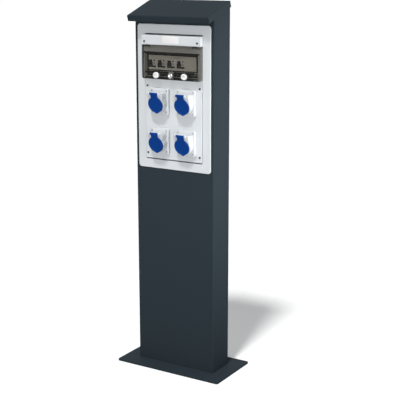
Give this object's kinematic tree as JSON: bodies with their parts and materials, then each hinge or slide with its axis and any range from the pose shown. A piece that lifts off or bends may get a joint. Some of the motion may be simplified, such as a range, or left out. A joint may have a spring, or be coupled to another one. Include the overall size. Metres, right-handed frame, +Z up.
{
  "type": "distribution pillar",
  "caption": "Floor-standing outdoor power pillar: dark sheet-steel column with a sloping cap and a grey panel holding breakers behind a smoky window and angled lidded sockets.",
  "frame": {"origin": "bottom centre of the base plate", "axes": "+Z up the column, +X to the right of someone facing the panel, +Y to the back"},
  "size_m": [0.39, 0.208, 1.1985],
  "materials": {
    "painted_steel": "dark anthracite powder coat, fine texture, satin",
    "zinc_steel": "bright zinc plated",
    "grey_moulding": "light grey moulding, fine grain",
    "box_moulding": "mid grey moulding",
    "dark_screw": "blackened socket-head screws",
    "grey_screw": "plated cross-head screws",
    "label_film": "bare white film label",
    "smoky_clear": "smoky brown clear moulding",
    "white_plastic": "white satin moulding",
    "chrome": "polished chrome plate",
    "module_plastic": "light grey module moulding",
    "lever_plastic": "blue-black lever",
    "button_plastic": "pale reddish test button",
    "blue_plastic": "blue moulded lid",
    "insert_plastic": "blue contact carrier",
    "brass": "brass",
    "gasket_rubber": "black foam gasket",
    "black_plastic": "black moulding",
    "terminal_plastic": "grey terminal block",
    "lead_sheath": "blue lead insulation"
  },
  "bodies": {
    "pillar": {"base_plate": "painted_steel", "column": "painted_steel", "rear_panel": "painted_steel", "roof_cap": "painted_steel", "foot_angles": "zinc_steel", "foot_bolts": "zinc_steel", "roof_brackets": "zinc_steel", "roof_screws": "zinc_steel", "rear_panel_screws": "zinc_steel", "din_rail": "zinc_steel", "window_pins": "zinc_steel", "lid_hinge_pins": "zinc_steel", "box_rivets": "zinc_steel", "surround_frame": "grey_moulding", "front_panel": "grey_moulding", "module_cover": "grey_moulding", "socket_housing_1": "grey_moulding", "socket_housing_2": "grey_moulding", "socket_housing_3": "grey_moulding", "socket_housing_4": "grey_moulding", "back_box": "box_moulding", "panel_screws": "dark_screw", "cover_screws": "dark_screw", "flange_screws": "grey_screw", "label_plate": "label_film", "breaker_1": "module_plastic", "breaker_2": "module_plastic", "breaker_3": "module_plastic", "breaker_4": "module_plastic", "blanking_module": "module_plastic", "socket_insert_1": "insert_plastic", "socket_insert_2": "insert_plastic", "socket_insert_3": "insert_plastic", "socket_insert_4": "insert_plastic", "socket_contacts": "brass", "earth_bar": "brass", "socket_gaskets": "gasket_rubber", "ribbed_strip": "black_plastic", "cable_gland": "black_plastic", "terminal_block": "terminal_plastic", "feed_leads": "lead_sheath"},
    "window": {"window": "smoky_clear", "lock_body": "chrome"},
    "knob_left": {"knob_left": "white_plastic"},
    "knob_right": {"knob_right": "white_plastic"},
    "lock": {"lock_barrel": "chrome", "lock_cam": "zinc_steel"},
    "lever_1": {"breaker_lever_1": "lever_plastic"},
    "lever_2": {"breaker_lever_2": "lever_plastic"},
    "lever_3": {"breaker_lever_3": "lever_plastic"},
    "lever_4": {"breaker_lever_4": "lever_plastic"},
    "test_1": {"test_button_1": "button_plastic"},
    "test_2": {"test_button_2": "button_plastic"},
    "test_3": {"test_button_3": "button_plastic"},
    "test_4": {"test_button_4": "button_plastic"},
    "lid_1": {"socket_lid_1": "blue_plastic"},
    "lid_2": {"socket_lid_2": "blue_plastic"},
    "lid_3": {"socket_lid_3": "blue_plastic"},
    "lid_4": {"socket_lid_4": "blue_plastic"}
  },
  "joints": [
    {"name": "window_hinge", "type": "hinge", "parent": "pillar", "child": "window", "pos_m": [0, -0.0634, 1.061], "axis": [-1, 0, 0], "range_deg": [0, 95]},
    {"name": "knob_left_turn", "type": "hinge", "parent": "window", "child": "knob_left", "pos_m": [-0.05165, -0.066, 0.9697], "axis": [0, 1, 0], "range_deg": [0, 90]},
    {"name": "knob_right_turn", "type": "hinge", "parent": "window", "child": "knob_right", "pos_m": [0.05165, -0.066, 0.9697], "axis": [0, 1, 0], "range_deg": [0, 90]},
    {"name": "lock_turn", "type": "hinge", "parent": "window", "child": "lock", "pos_m": [0, -0.066, 0.9697], "axis": [0, 1, 0], "range_deg": [0, 90]},
    {"name": "lever_1_switch", "type": "hinge", "parent": "pillar", "child": "lever_1", "pos_m": [-0.0818, -0.049, 1.008], "axis": [1, 0, 0], "range_deg": [0, 70]},
    {"name": "lever_2_switch", "type": "hinge", "parent": "pillar", "child": "lever_2", "pos_m": [-0.0466, -0.049, 1.008], "axis": [1, 0, 0], "range_deg": [0, 70]},
    {"name": "lever_3_switch", "type": "hinge", "parent": "pillar", "child": "lever_3", "pos_m": [-0.0114, -0.049, 1.008], "axis": [1, 0, 0], "range_deg": [0, 70]},
    {"name": "lever_4_switch", "type": "hinge", "parent": "pillar", "child": "lever_4", "pos_m": [0.0238, -0.049, 1.008], "axis": [1, 0, 0], "range_deg": [0, 70]},
    {"name": "test_1_press", "type": "slide", "parent": "pillar", "child": "test_1", "axis": [0, 1, 0], "range_m": [0, 0.0015], "stiffness_N_per_m": 300, "springref_m": -0.001},
    {"name": "test_2_press", "type": "slide", "parent": "pillar", "child": "test_2", "axis": [0, 1, 0], "range_m": [0, 0.0015], "stiffness_N_per_m": 300, "springref_m": -0.001},
    {"name": "test_3_press", "type": "slide", "parent": "pillar", "child": "test_3", "axis": [0, 1, 0], "range_m": [0, 0.0015], "stiffness_N_per_m": 300, "springref_m": -0.001},
    {"name": "test_4_press", "type": "slide", "parent": "pillar", "child": "test_4", "axis": [0, 1, 0], "range_m": [0, 0.0015], "stiffness_N_per_m": 300, "springref_m": -0.001},
    {"name": "lid_1_hinge", "type": "hinge", "parent": "pillar", "child": "lid_1", "pos_m": [-0.0487, -0.08789, 0.91321], "axis": [-1, 0, 0], "range_deg": [0, 120], "stiffness_Nm_per_rad": 0.02, "springref_deg": -34.38},
    {"name": "lid_2_hinge", "type": "hinge", "parent": "pillar", "child": "lid_2", "pos_m": [0.0487, -0.08789, 0.91321], "axis": [-1, 0, 0], "range_deg": [0, 120], "stiffness_Nm_per_rad": 0.02, "springref_deg": -34.38},
    {"name": "lid_3_hinge", "type": "hinge", "parent": "pillar", "child": "lid_3", "pos_m": [-0.0487, -0.08789, 0.78721], "axis": [-1, 0, 0], "range_deg": [0, 120], "stiffness_Nm_per_rad": 0.02, "springref_deg": -34.38},
    {"name": "lid_4_hinge", "type": "hinge", "parent": "pillar", "child": "lid_4", "pos_m": [0.0487, -0.08789, 0.78721], "axis": [-1, 0, 0], "range_deg": [0, 120], "stiffness_Nm_per_rad": 0.02, "springref_deg": -34.38}
  ]
}
